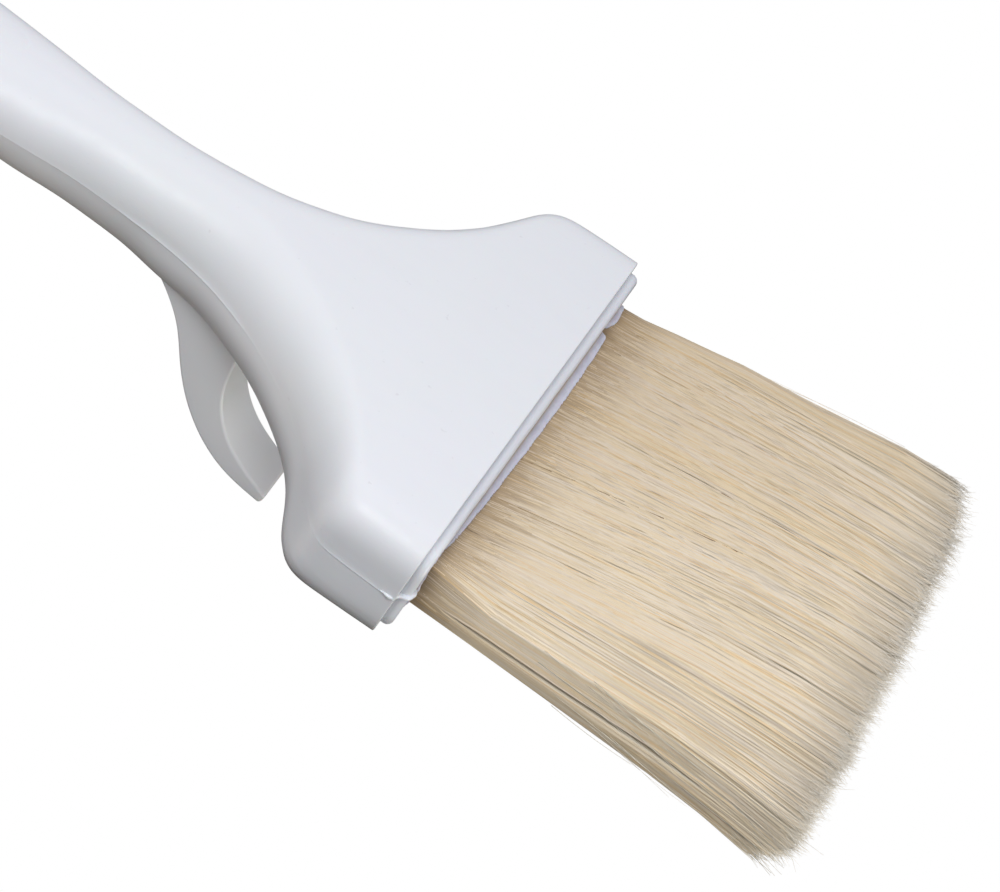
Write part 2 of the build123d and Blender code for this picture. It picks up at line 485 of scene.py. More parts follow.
def gate_mark(points):
    """A faint round mark where the plastic entered the mould."""
    distance = np.hypot(points[:, 0] - GATE_ALONG, points[:, 1])
    on_front = points[:, 2] > 4
    groove = -0.05 * bump(distance, GATE_RADIUS, 0.22)
    nub = 0.03 * bump(distance, 0, 0.5)
    points[:, 2] += np.where(on_front, groove + nub, 0)


def handle_body():
    places = handle_places()
    rings = []
    for along in places:
        ring = handle_ring(along)
        rings.append(ring_at(along, ring))
    around = len(rings[0])
    # the mouth: a crisp edge, the shell's end, and the pocket's wall and floor
    full = handle_ring(0.0)
    for along, inset in MOUTH_EDGE:
        shrink = np.array([
            (HEAD_HALF_WIDTH - inset) / HEAD_HALF_WIDTH,
            (HEAD_HALF_THICK - inset) / HEAD_HALF_THICK,
        ])
        rings.append(ring_at(along, full * shrink))
    rings.append(rings[-1] * [0, 1, 1] + [-POCKET_DEPTH, 0, 0])
    points = np.concatenate(rings)
    gate_mark(points)
    # the butt ends in a small flat face, and the other cap is the floor of the pocket
    faces = ring_faces(len(rings), around, close_start=True, close_end=True)
    return new_object("handle_moulding", points, faces, None, sharp_angle=32)


HOOK_OUTER = [
    (-54, -4.5), (-48, -8.8), (-44.2, -12.7), (-41, -17.8), (-35.2, -24.7), (-28.5, -28.5),
    (-22.7, -HOOK_DEPTH),
]
HOOK_TIP_SHRINK = 0.62
HOOK_SECTIONS = 70
HOOK_EDGE_RADIUS = 0.5
HOOK_INNER = [(-34.5, -3.5), (-34.7, -13.5), (-33.3, -19.3), (-28.9, -24.5), (-22.4, -27.7)]


def hook():
    """The hook behind the neck: a flat bar with rounded edges that thins towards its tip."""
    outer = spline(HOOK_OUTER, HOOK_SECTIONS)
    inner = spline(HOOK_INNER, HOOK_SECTIONS)
    rings = []
    corner = np.linspace(0, math.pi / 2, 7)
    for i in range(HOOK_SECTIONS):
        middle = (outer[i] + inner[i]) / 2
        arm = outer[i] - inner[i]
        half = np.hypot(*arm) / 2
        arm = arm / (2 * half)
        round_off = min(HOOK_EDGE_RADIUS, half * 0.75)
        y = HOOK_WIDTH / 2 - round_off + round_off * np.cos(corner)
        t = half - round_off + round_off * np.sin(corner)
        quarter = np.stack([y, t], axis=1)
        loop = np.concatenate([
            quarter, quarter[::-1] * [-1, 1], quarter * [-1, -1], quarter[::-1] * [1, -1],
        ])
        rings.append(np.column_stack([
            middle[0] + arm[0] * loop[:, 1],
            loop[:, 0],
            middle[1] + arm[1] * loop[:, 1],
        ]))
    # the tip is rounded over
    last = rings[-1]
    centre = last.mean(axis=0)
    forward = centre - rings[-2].mean(axis=0)
    forward = forward / np.linalg.norm(forward)
    for turn in np.linspace(0.3, 1.35, 5):
        shrink = HOOK_TIP_SHRINK * (1 - math.cos(turn))
        scale = 1 - shrink * np.array([1.0, 0.12, 1.0])
        rings.append(centre + (last - centre) * scale + forward * 0.55 * math.sin(turn))
    points = np.concatenate(rings)
    around = len(last)
    faces = ring_faces(len(rings), around, close_start=True, close_end=True)
    return new_object("hook_bar", points, faces, None)


def hole_cutter():
    """A spool: the hang hole with its rounded edges."""
    centre = np.array([BUTT + HOLE_FROM_BUTT, 0.0])
    profile = [(-12, 6.5), (-7.4, 5.3), (-6.6, 4.45), (-6.1, 3.95), (-5.4, 3.6), (-4.6, HOLE_RADIUS)]
    profile = profile + [(-up, radius) for up, radius in reversed(profile)]
    turn = np.linspace(0, 2 * math.pi, HOLE_SIDES + 1)[:-1]
    rings = []
    for up, radius in profile:
        rings.append(np.column_stack([
            centre[0] + radius * np.cos(turn), centre[1] + radius * np.sin(turn), np.full(HOLE_SIDES, up),
        ]))
    faces = ring_faces(len(rings), HOLE_SIDES, close_start=True, close_end=True)
    return new_object("hole_cutter", np.concatenate(rings), faces, None)


def face_outwards(obj):
    """Turns the faces outwards, if the mesh came out inside out."""
    mesh = obj.data
    co = np.empty(len(mesh.vertices) * 3)
    mesh.vertices.foreach_get("co", co)
    co = co.reshape(-1, 3)
    mesh.calc_loop_triangles()
    tri = np.empty(len(mesh.loop_triangles) * 3, dtype=np.int64)
    mesh.loop_triangles.foreach_get("vertices", tri)
    a, b, c = co[tri.reshape(-1, 3)].transpose(1, 0, 2)
    if np.einsum("ij,ij->i", a, np.cross(b, c)).sum() < 0:
        mesh.flip_normals()


def make_handle():
    body = handle_body()
    bar = hook()
    cutter = hole_cutter()
    for obj in (body, bar, cutter):
        face_outwards(obj)
    carve(body, bar, "UNION")
    carve(body, cutter, "DIFFERENCE")
    body.data.shade_smooth()
    body.data.set_sharp_from_angle(angle=math.radians(HANDLE_SHARP_ANGLE))
    body.data.materials.clear()
    body.data.materials.append(plastic("white_polypropylene", (0.79, 0.803, 0.815), (0.795, 0.80, 0.825)))
    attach(body, "root")
    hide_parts("handle")


# ---- collar


def make_collar():
    """The ring that holds the bristles: pressed into the mouth, with a rounded outer end."""
    end_round = 1.0
    end_gap = 0.06
    profile = [(-POCKET_DEPTH + 0.05, end_gap), (COLLAR_PROUD - end_round, end_gap)]
    for turn in np.linspace(0.2, math.pi / 2, 7):
        profile.append((
            COLLAR_PROUD - end_round + end_round * math.sin(turn),
            end_gap + (end_round - end_gap) * (1 - math.cos(turn)),
        ))
    profile.append((COLLAR_PROUD - 0.10, COLLAR_WALL))
    profile.append((-POCKET_DEPTH + 0.05, COLLAR_WALL))
    rings = []
    for along, inset in profile:
        ring = outline(
            COLLAR_HALF_WIDTH - inset, COLLAR_HALF_THICK - inset,
            COLLAR_CORNER - inset, COLLAR_CORNER - inset, 56,
        )
        rings.append(ring_at(along, ring))
    around = len(rings[0])
    points = np.concatenate(rings)
    # a little unevenness round the moulded end
    turn = np.tile(np.arange(around) * 0.8, len(rings))
    points[:, 0] += 0.03 * wave_noise(turn, 5, 14) * (points[:, 0] > 0)
    faces = ring_faces(len(rings), around)
    for j in range(around):
        k = (j + 1) % around
        top = (len(rings) - 1) * around
        faces.append((top + j, top + k, k, j))
    collar = new_object("collar_ring", points, faces, "collar_plastic")
    face_outwards(collar)
    collar.data.materials.append(plastic("collar_polypropylene", (0.76, 0.78, 0.82), (0.74, 0.76, 0.80), 0.3))
    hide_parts("bristle_collar")


# The flash's outer edge on the parting plane, as (along, across), and where it joins the mouldings.
FLASH_EDGE = [
    (-2.6, -38.22), (-1.6, -38.42), (-0.75, -38.52), (-0.1, -38.12), (0.35, -37.35), (0.75, -37.12),
    (1.2, -37.02), (1.62, -36.55), (1.86, -35.75), (1.9, -35.1), (1.68, -34.55),
]
FLASH_ROOT = [
    (-2.7, -37.9), (-1.7, -37.6), (-0.9, -37.3), (-0.5, -36.9), (-0.1, -36.4), (0.2, -36.2),
    (0.5, -36.0), (0.8, -35.7), (0.9, -35.3), (0.9, -34.9), (0.8, -34.4),
]


def make_flash():
    """A flat scrap of moulding flash on the parting line, where the collar meets the head."""
    count = 60
    edge = spline(FLASH_EDGE, count)
    root = spline(FLASH_ROOT, count)
    share = np.linspace(0, 1, count)
    edge += 0.03 * wave_noise(share, 3, 0.12)[:, None]
    half = 0.11 + 0.17 * smooth(share, 0.02, 0.3)
    lift = 0.10 + 0.18 * smooth(share, 0.25, 0.75)
    profile = [(0.0, 1.0), (0.55, 1.0), (0.82, 0.9), (0.95, 0.6), (1.0, 0.0)]
    profile = profile + [(out, -up) for out, up in reversed(profile[:-1])]
    rings = []
    for out, up in profile:
        flat = root + (edge - root) * out
        rings.append(np.column_stack([flat, lift + half * up]))
    points = np.stack(rings, axis=1).reshape(-1, 3)
    faces = ring_faces(count, len(profile), close_start=True, close_end=True)
    flash = new_object("moulding_flash", points, faces, "handle_plastic")
    face_outwards(flash)
    flash.data.materials.append(plastic("flash_polypropylene", (0.86, 0.87, 0.90), (0.84, 0.85, 0.90), 0.0))


# ---- resin and plug

ROW_HALF_WIDTH = PLUG_HIGH.y / MM
ROW_LOW = -4.3  # the rows' roots, from the back of the back row to the front of the front row
ROW_HIGH = 4.1
ROW_MIDDLE = (ROW_LOW + ROW_HIGH) / 2
ROW_HALF_THICK = (ROW_HIGH - ROW_LOW) / 2
SKIRT_GAP = 0.42
LIP_SIDE = 1.72  # the lip's height at the pack's ends and at its back
LIP_REAR = 2.0
LIP_END = 33.5
RESIN_CLEARANCE = 0.04
SKIRT_CORNER = 2.0
ROW_CORNER = 1.6
RESIN_LEVEL = 1.15
# The lip's height above the mouth along the front, as (across, height).
LIP_LINE = np.array([
    (-33.0, 1.45), (-31.0, 1.42), (-27.0, 1.78), (-22.0, 2.1), (-14.0, 2.35), (-4.0, 2.56),
    (6.0, 2.66), (16.0, 2.58), (22.0, 2.4), (24.1, 2.28), (24.5, 1.35), (25.7, 1.3), (26.5, 1.72),
    (28.6, 2.2), (30.2, 2.1), (32.7, 1.62),
])


def skirt_height(across, up):
    """How far the ragged lip of resin stands above the mouth."""
    front = smooth(up, -0.8, 2.6)
    side = LIP_SIDE + 0.1 * wave_noise(up, 21, 3.0) - 0.35 * smooth(-up, 1.0, 5.0)
    line = read_table(LIP_LINE, across)
    teeth = np.abs(wave_noise(across, 12, 0.7, 2)) ** 0.8 - 0.4
    nicks = np.clip(wave_noise(across, 18, 0.55, 2) - 0.35, 0, 1)
    line = line + 0.05 * wave_noise(across, 11, 7.0) + 0.13 * teeth - 0.16 * nicks
    back = smooth(-up, 1.5, 4.0)
    rear = LIP_REAR + 0.18 * wave_noise(across, 15, 4.0) + 0.12 * teeth
    inward = smooth(LIP_END - np.abs(across), 0, 5)
    height = side * (1 - front) + line * front
    height = height * (1 - back) + rear * back * inward + side * back * (1 - inward)
    return np.maximum(height, RESIN_LEVEL + 0.12)


def make_resin():
    """The cast resin: level inside the collar, with a thin ragged lip round the bristle roots."""
    count = 420
    collar_inner = outline(
        COLLAR_HALF_WIDTH - COLLAR_WALL - RESIN_CLEARANCE,
        COLLAR_HALF_THICK - COLLAR_WALL - RESIN_CLEARANCE,
        COLLAR_CORNER - COLLAR_WALL - RESIN_CLEARANCE,
        COLLAR_CORNER - COLLAR_WALL - RESIN_CLEARANCE,
        count,
    )
    middle = np.array([0.0, ROW_MIDDLE])

    def around_rows(gap, corner):
        return outline(ROW_HALF_WIDTH + gap, ROW_HALF_THICK + gap, corner, corner, count) + middle

    skirt = around_rows(SKIRT_GAP, SKIRT_CORNER)
    inner = around_rows(0.02, ROW_CORNER)
    # at the back and the ends the lip is thicker
    thicker = 0.9 * smooth(-skirt[:, 1], 0.5, 4.0)
    thicker = thicker + 0.5 * smooth(-skirt[:, 0], 31.5, 33.0) * smooth(-skirt[:, 1], -2, 1)
    outward = (skirt - inner) / np.linalg.norm(skirt - inner, axis=1, keepdims=True)
    skirt = skirt + outward * thicker[:, None]
    height = skirt_height(skirt[:, 0], skirt[:, 1])
    level = np.full(len(skirt), RESIN_LEVEL)
    round_trip = np.arange(len(skirt)) * 0.12

    def ring(along, shape):
        return np.column_stack([along, shape])

    foot = level + 0.08
    rings = [
        ring_at(0.1 - POCKET_DEPTH, collar_inner),
        ring(level - 0.1, collar_inner),
        ring(level, collar_inner * 0.4 + skirt * 0.6),
        ring(foot, skirt + outward * 0.1),
    ]
    amber = [0.0, 0.2, 0.55, 1.0]
    tints = ((0.1, 0.9), (0.2, 0.5), (0.34, 0.12), (0.55, 0.0), (0.78, 0.0), (0.93, 0.0))
    for step, (fraction, tint) in enumerate(tints):
        bulge = 0.025 * wave_noise(round_trip, 31, 3.4) + 0.025 * wave_noise(round_trip, 51 + step, 0.7)
        round_in = 0.10 * smooth(fraction, 0.7, 1.0)
        wall = skirt + outward * (bulge * fraction - round_in)[:, None]
        rings.append(ring(foot + (height - foot) * fraction, wall))
        amber.append(tint)
    rings.append(ring(height, skirt * 0.6 + inner * 0.4))
    rings.append(ring(height - 0.03, skirt * 0.2 + inner * 0.8))
    rings.append(ring(foot, inner))
    amber += [0.0, 0.05, 0.7]
    points = np.concatenate(rings)
    around = len(skirt)
    faces = ring_faces(len(rings), around, close_start=True, close_end=True)
    resin = new_object("resin_skirt", points, faces, "setting_resin")
    layer = resin.data.attributes.new("amber", "FLOAT", "POINT")
    layer.data.foreach_set("value", np.repeat(amber, around).astype(np.float32))
    face_outwards(resin)
    resin.data.materials.append(cast_resin())
    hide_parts("setting_resin")


def make_plug():
    """The spacer between the two rows: a moulded strip with rounded edges and shallow ribs."""
    low = (np.array(PLUG_LOW) - ORIGIN) / MM
    high = (np.array(PLUG_HIGH) - ORIGIN) / MM
    middle = np.array([0.0, (low[2] + high[2]) / 2])
    half_thick = (high[2] - low[2]) / 2
    starts = np.linspace(low[0] + 0.1, RESIN_LEVEL + 0.5, 12)
    rings = []
    for i, along in enumerate(starts):
        rib = 0.12 * (i % 2)
        end = 0.3 if i in (0, len(starts) - 1) else 0.0
        ring = outline(high[1] - 0.2 - end, half_thick - 0.1 - rib - end, 0.5, 0.4, 30) + middle
        rings.append(ring_at(along, ring))
    faces = ring_faces(len(rings), len(rings[0]), close_start=True, close_end=True)
    plug = new_object("spacer_strip", np.concatenate(rings), faces, "plug_plastic")
    face_outwards(plug)
    plug.data.materials.append(plastic("plug_polypropylene", (0.74, 0.72, 0.66), (0.70, 0.68, 0.64)))
    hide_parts("spacer_plug")


# ---- bristles

ROOT_DEPTH = 1.2
RING_SHARES = np.array([0, 0.065, 0.12, 0.21, 0.42, 0.64, 0.85, 1.0])
TIP_LINE = 56.2  # how far the middle bristles reach past the mouth
# How far the pack has flared at each distance past the mouth, as a share of its sideways sweep.
FLARE = np.array([
    (-2, 0), (2, 0), (6, 0.06), (9, 0.15), (12, 0.25), (16, 0.36), (20, 0.45), (24, 0.52),
    (28, 0.58), (32, 0.65), (36, 0.75), (40, 0.86), (44, 0.94), (50, 1.0), (62, 1.1),
])
# The sideways sweep in mm of the bristles on the front face, by where their roots are.
SWEEP = np.array([
    (-32.2, 0.2), (-30.5, 2.4), (-27, 6.2), (-20, 7.8), (-12, 9.0), (-6, 8.0), (0, 6.5), (8, 5.6),
    (18, 5.2), (24, 3.9), (28.5, 3.7), (31, 5.7), (32.2, 7.6),
])
# The same as FLARE for the bristles away from the edge, which run straighter.
RUN = np.array([
    (-2, 0), (2, 0), (5, 0.07), (10, 0.20), (16, 0.35), (22, 0.49), (30, 0.67), (38, 0.82),
    (46, 0.93), (54, 1.0), (64, 1.03),
])
CREAM = (0.97, 0.818, 0.575)
TAN = (0.95, 0.715, 0.42)
PALE = (0.97, 0.86, 0.70)
GREY = (0.93, 0.80, 0.64)
# the roots' own brown, which is also the colour of the painted shade near them
ROOT_BROWN_AND_SHADE = (0.37, 0.255, 0.14)
TIP_PALE = (0.90, 0.84, 0.72)
DARK = (0.22, 0.13, 0.07)


# The pack's outside is laid more closely than its inside: each bristle draws a number from 0 to 1,
# and these say which ones go to the near fan, to the front and to the sides, and how deep there.
FAN_FROM = 0.20
FRONT_BELOW = 0.34
SIDES_ABOVE = 0.87
FAN_WIDTH = 0.26
FRONT_DEPTH = 0.10
SIDES_DEPTH = 0.03
SHORT_SHARE = 0.12
LOOSE_SHARE = 0.32
LOOSE_SWAY = 2.8  # mm, the spread of a loose bristle's sideways sweep, and a close one's
CLOSE_SWAY = 0.8
SWAY_LIMIT = 4.5
GROOVE_DIP = 0.9  # mm that the front row's underside sags between root and tips
CORNER_DROP = 0.46  # how far the near front corner rounds over, as a share of the row's thickness
CORNER_FROM = 0.76
SPLAY_OUT = 1.9
SPLAY_DOWN = 1.2
LOCK_SIZE = 1.25  # mm
LOCK_COUNT = 400
# Colour: what part of the root's brown (partly the roots' own colour, partly painted shade under the resin
# lip), the painted shade and the pale tip each bristle shows.
DARK_SHARE = 0.002
BLEACHED_SHARE = 0.2
BROWN_BLEACHED = 0.15
BROWN_PLAIN = 0.72
ROOT_SHADE = 0.30
ROOT_SHADE_LENGTH = 8.5
SHAFT_SHADE = 0.06
SHAFT_SHADE_FAR = 0.11
# how much the painted shade inside the pack takes from each colour channel
INNER_SHADE_WARMTH = np.array([0.02, 0.13, 0.32])
TIP_LENGTH = 8
TIP_SHARE = 0.5
# The pack's surface, for the bristles' shading, in mm.
PACK_SHIFT = 3.6  # how far its middle moves across, and it widens, between root and tips
PACK_RISE = 1.4
CORNER_WIDTH = 7.7
CORNER_DEPTH = 2.2
EDGE_WIDTH = 2.4
GROOVE_LEVEL = 1.7
GROOVE_RISE = 1.1
GROOVE_HALF = 0.9
SOFTEN = 0.8  # how much of the pack's normals goes into the bristles' own
BRISTLE_RADIUS = (0.055, 0.082)
SHEAF_COUNT = 4500  # bristles in each sheaf
FLAG_COUNT = 9000


def tip_reach(across, up, rng):
    """How far a bristle whose tip is at `across`, `up` reaches past the mouth."""
    line = TIP_LINE - 0.055 * across - 0.03 * np.maximum(across, 0)
    line = line - 2.2 * smooth(across, 31, 39.5)
    line = line - 2.4 * smooth(-up, 0.5, 4.5)
    clumps = 0.4 * wave_noise(across, 61, 5.0, 4)
    return line + clumps + rng.normal(0, 0.5, len(across))


def strand_paths(rng, count, low, high, rise, free, fill):
    """Centre lines of a row's bristles, count x rings x 3. `low` and `high` are the row's bottom and
    top at the root, `rise` how far the flare lifts its two faces, `free` how much of the sideways
    sweep the bottom and the top of the row take, and `fill` how far its inner bristles spread."""

    def share():
        return rng.uniform(0, 1, count)

    w = rng.uniform(-1, 1, count)
    t = share()
    # the outside of the pack is laid more closely than the inside
    skin = share()
    t = np.where(skin < FRONT_BELOW, 1 - FRONT_DEPTH * share() ** 1.5, t)
    side_w = np.sign(w) * (1 - SIDES_DEPTH * share() ** 1.5)
    w = np.where(skin > SIDES_ABOVE, side_w, w)
    # and more closely still where the near edge fans out
    fan_w = FAN_WIDTH * share() - 1
    w = np.where((skin > FAN_FROM) & (skin < FRONT_BELOW), fan_w, w)
    corner = 1 - np.where(w < 0, 0.2, 0.1) * np.clip((np.abs(w) - 0.95) / 0.05, 0, 1) ** 2
    root_y = w * ROW_HALF_WIDTH * 0.996
    thick = high - low
    root_z = low + thick * t * corner if fill < 0 else high - thick * (1 - t) * corner
    # the whole pack leans towards +Y, but its far edge stays straight
    edge = smooth(root_y, 25, 31)
    amount = free[0] + (free[1] - free[0]) * np.maximum(t, edge)
    sweep = read_table(SWEEP, root_y) * amount
    sway = np.where(share() < LOOSE_SHARE, LOOSE_SWAY, CLOSE_SWAY)
    sway = sway * rng.normal(0, 1, count)
    sweep = sweep + np.clip(sway, -SWAY_LIMIT, SWAY_LIMIT) * smooth(ROW_HALF_WIDTH - np.abs(root_y), 0, 6)
    lift = rise[0] + (rise[1] - rise[0]) * t
    tip_y = root_y + sweep
    length = tip_reach(tip_y, root_z + lift, rng)
    short = share() < SHORT_SHARE
    length = np.where(short, length * rng.uniform(0.88, 0.985, count), length)
    along = -ROOT_DEPTH + RING_SHARES[None, :] * (length[:, None] + ROOT_DEPTH)
    at_edge = read_table(FLARE, along.ravel()).reshape(along.shape)
    inside = read_table(RUN, along.ravel()).reshape(along.shape)
    flare = inside + (at_edge - inside) * edge[:, None]
    y = root_y[:, None] + flare * sweep[:, None]
    z = root_z[:, None] + (flare if fill < 0 else flare ** 2) * lift[:, None]
    z = z + flare * rng.normal(0, 0.08, (count, 1))
    # the inner bristles of each row spread over the spacer strip, and at the pack's edge they part
    # again above the root and leave a shallow groove between the rows
    inner = np.clip((0.4 - t if fill < 0 else t - 0.5) / 0.4, 0, 1)[:, None]
    within = smooth(ROW_HALF_WIDTH - np.abs(root_y), 0.7, 1.6)[:, None]
    spread = within + (1 - within) * (1 - smooth(along, 2.5, 8))
    z = z + fill * inner * spread
    if fill < 0:
        z = z - GROOVE_DIP * (1 - t[:, None]) ** 2 * smooth(along, 1, 6) * (1 - smooth(along, 24, 52))
        # its near front corner rounds over, more so away from the resin
        drop = CORNER_DROP * thick * t * np.clip((-w - CORNER_FROM) / 0.24, 0, 1) ** 2.5
        z = z - drop[:, None] * smooth(along, -1, 14)
    # the ends splay at the near edge
    splay = np.clip((-w - 0.9) / 0.1, 0, 1) * share() ** 2
    y = y - SPLAY_OUT * splay[:, None] * smooth(along, 38, 61)
    z = z - SPLAY_DOWN * (splay * (1 - t))[:, None] * smooth(along, 38, 61)
    # locks: bristles draw together towards the tips
    lock = np.round((tip_y + 0.4 * wave_noise(tip_y * 3 + t * 9, 71, 5)) / LOCK_SIZE)
    lock_rng = np.random.default_rng(91)
    lock_y = lock_rng.normal(0, 0.25, LOCK_COUNT)
    lock_z = lock_rng.normal(0, 0.10, LOCK_COUNT)
    index = (lock + 150 + np.floor(t * 3) * 61).astype(int) % LOCK_COUNT
    pull = smooth(along, 26, 62) * rng.uniform(0.05, 0.35, count)[:, None]
    target_y = (lock * LOCK_SIZE + lock_y[index])[:, None]
    y = y + (target_y - tip_y[:, None]) * pull
    z = z + lock_z[index][:, None] * smooth(along, 14, 58)
    # gentle waviness
    phase = rng.uniform(0, 6.28, (count, 1))
    swing = rng.uniform(0.02, 0.10, (count, 1)) * smooth(along, 1, 12)
    y = y + swing * np.sin(phase + along / rng.uniform(9, 18, (count, 1)))
    z = z + 0.6 * swing * np.cos(phase * 1.7 + along / rng.uniform(9, 18, (count, 1)))
    return np.stack([along, y, z], axis=2), t


def strand_tones(rng, paths, t):
    """A colour for each ring of each bristle: its own tone, brown roots and pale tips, with painted shade at
    the roots, along the shaft and inside the pack.
    """
    count, rings, _ = paths.shape
    kind = rng.uniform(0, 1, count)
    along = paths[:, :, 0]
    middle_y = paths[:, rings // 2, 1]
    streak = 0.5 + 0.5 * wave_noise(middle_y, 41, 6.0, 4)
    tone = np.empty((count, 3))
    tone[:] = CREAM
    tone[kind > 0.72 - 0.16 * streak] = PALE
    tone[(kind > 0.42) & (kind < 0.52)] = GREY
    tone[kind < 0.07 + 0.08 * (1 - streak)] = TAN
    tone *= rng.uniform(0.93, 1.03, (count, 1))
    # painted shade: the inner bristles are darkened and warmed, standing in for light that has passed by
    # other bristles on its way in
    inner_shade = smooth(0.93 - t, 0, 0.12) * smooth(ROW_HALF_WIDTH - np.abs(paths[:, 0, 1]), 0.6, 1.4)
    tone = tone * (1 - inner_shade[:, None] * INNER_SHADE_WARMTH)
    dark = rng.uniform(0, 1, count) < DARK_SHARE
    tone[dark] = DARK
    colour = np.repeat(tone[:, None, :], rings, axis=1)
    # the brown near the roots, in patches of differing length: partly the bristles' own darker roots, partly
    # painted shade under the resin lip
    patch = 2.6 + 2.2 * wave_noise(middle_y, 43, 2.2, 3) + rng.normal(0, 0.9, count)
    patch = np.clip(patch, 0.6, None)[:, None]
    bleached = rng.uniform(0, 1, count) < BLEACHED_SHARE
    amount = np.where(bleached, BROWN_BLEACHED, BROWN_PLAIN)[:, None]
    root = amount * (1 - smooth(along - 2.6, 0.25 * patch, 2.2 * patch))
    # painted shade: darker near the roots, less so towards the -Y edge, and a lighter shade along the shaft,
    # stronger towards +Y, that fades out towards the tips
    painted_shade = ROOT_SHADE * np.exp(-np.clip(along - 2, 0, None) / ROOT_SHADE_LENGTH)
    painted_shade = painted_shade * smooth(middle_y, -45, -15)[:, None]
    painted_shaft_shade = SHAFT_SHADE + SHAFT_SHADE_FAR * smooth(middle_y, -15, 22)[:, None]
    painted_shade = painted_shade + painted_shaft_shade * (1 - smooth(along, 24, 54))
    root = (root + (1 - root) * painted_shade)[:, :, None]
    colour = colour * (1 - root) + np.array(ROOT_BROWN_AND_SHADE) * root
    length = along[:, -1:]
    tip = smooth(along, length - TIP_LENGTH, length)[:, :, None] * TIP_SHARE
    tip = tip * (~dark)[:, None, None]
    return np.clip(colour * (1 - tip) + np.array(TIP_PALE) * tip, 0, 1)


def pack_normals(points):
    """The way the pack's own surface faces near each point, fading to nothing deep inside. It
    softens the bristles' shading."""
    share = read_table(FLARE, points[:, 0])
    across = points[:, 1] - PACK_SHIFT * share
    half = ROW_HALF_WIDTH + PACK_SHIFT * share
    rounded = np.clip((CORNER_WIDTH - half - across) / CORNER_WIDTH, 0, 1) ** 2.5
    rounded = rounded * smooth(points[:, 2], -1, 1.5)
    up = points[:, 2] - ROW_MIDDLE - PACK_RISE * share + CORNER_DEPTH * rounded
    thick = ROW_HALF_THICK + PACK_RISE * share
    edge = np.clip((np.abs(across) - half + EDGE_WIDTH) / EDGE_WIDTH, 0, 1)
    groove = bump(points[:, 2] + GROOVE_LEVEL - GROOVE_RISE * share, 0, GROOVE_HALF)
    sideways = np.sign(across) * (edge ** 2 + (edge ** 0.4 - edge ** 2) * groove)
    upwards = np.sign(up) * np.clip((np.abs(up) / thick - 0.35) / 0.5, 0, 1)
    # the edge of the front row rounds over, and the back row's faces sideways
    at_edge = np.clip((points[:, 2] + 2.8) / 1.8, -0.1, 1)
    upwards = upwards + (at_edge - upwards) * np.abs(sideways)
    sideways = sideways * (1 - 0.55 * np.clip(at_edge, 0, 1))
    ends = smooth(points[:, 0], 52.5, 58.5)
    normal = np.stack([0.45 * ends, sideways, upwards], axis=1)
    return normal / np.maximum(np.linalg.norm(normal, axis=1, keepdims=True), 1.0)


